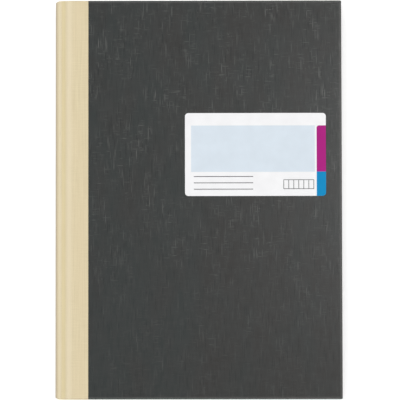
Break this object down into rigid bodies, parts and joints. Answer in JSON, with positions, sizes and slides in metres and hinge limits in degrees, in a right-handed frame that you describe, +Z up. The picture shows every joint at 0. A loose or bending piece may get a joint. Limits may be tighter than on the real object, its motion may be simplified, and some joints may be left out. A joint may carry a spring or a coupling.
{
  "type": "accounting ledger",
  "caption": "Casebound A4 accounting ledger with a cream cloth spine, dark linen-look paper sides and a front label; covers, flyleaf and leading signatures turn at the joint.",
  "frame": {"origin": "middle of the underside of the closed ledger, lying on its back cover", "axes": "+X from the spine to the fore edge, +Y from the tail to the head, +Z up out of the front cover"},
  "size_m": [0.2176, 0.303, 0.0239],
  "materials": {
    "grey_board": "matte",
    "cover_paper": "matte linen-look",
    "spine_cloth": "matte calico",
    "gauze": "open weave",
    "endpaper": "matte",
    "label": "satin",
    "spine_card": "matte",
    "kraft_lining": "matte",
    "thread": "matte",
    "end_band": "silky",
    "leaf_paper": "matte"
  },
  "bodies": {
    "text_block": {"spine_cloth": "spine_cloth", "spine_inlay": "spine_card", "spine_lining": "kraft_lining", "spine_gauze": "gauze", "sewing_thread": "thread", "head_band": "end_band", "tail_band": "end_band", "signature_04": "leaf_paper", "signature_05": "leaf_paper", "signature_06": "leaf_paper", "signature_07": "leaf_paper", "signature_08": "leaf_paper", "signature_09": "leaf_paper", "signature_10": "leaf_paper", "signature_11": "leaf_paper", "signature_12": "leaf_paper", "back_flyleaf": "endpaper"},
    "third_section": {"signature_03": "leaf_paper"},
    "second_section": {"signature_02": "leaf_paper"},
    "first_section": {"signature_01": "leaf_paper"},
    "flyleaf_front": {"front_flyleaf": "endpaper"},
    "cover_front": {"front_board": "grey_board", "front_cover_paper": "cover_paper", "front_joint_cloth": "spine_cloth", "front_gauze_flange": "gauze", "front_pastedown": "endpaper", "cover_label": "label"},
    "cover_back": {"back_board": "grey_board", "back_cover_paper": "cover_paper", "back_joint_cloth": "spine_cloth", "back_gauze_flange": "gauze", "back_pastedown": "endpaper"}
  },
  "joints": [
    {"name": "third_section_turn", "type": "hinge", "parent": "text_block", "child": "third_section", "pos_m": [-0.10455, 0, 0.02162], "axis": [0, -1, 0], "range_deg": [0, 179.9]},
    {"name": "second_section_turn", "type": "hinge", "parent": "third_section", "child": "second_section", "pos_m": [-0.10455, 0, 0.02162], "axis": [0, -1, 0], "range_deg": [0, 179.9]},
    {"name": "first_section_turn", "type": "hinge", "parent": "second_section", "child": "first_section", "pos_m": [-0.10455, 0, 0.02162], "axis": [0, -1, 0], "range_deg": [0, 179.9]},
    {"name": "front_flyleaf_turn", "type": "hinge", "parent": "first_section", "child": "flyleaf_front", "pos_m": [-0.10455, 0, 0.02162], "axis": [0, -1, 0], "range_deg": [0, 179.9]},
    {"name": "front_cover_hinge", "type": "hinge", "parent": "flyleaf_front", "child": "cover_front", "pos_m": [-0.10455, 0, 0.02162], "axis": [0, -1, 0], "range_deg": [0, 184]},
    {"name": "back_cover_hinge", "type": "hinge", "parent": "text_block", "child": "cover_back", "pos_m": [-0.10455, 0, 0.00213], "axis": [0, 1, 0], "range_deg": [0, 179.9]}
  ]
}
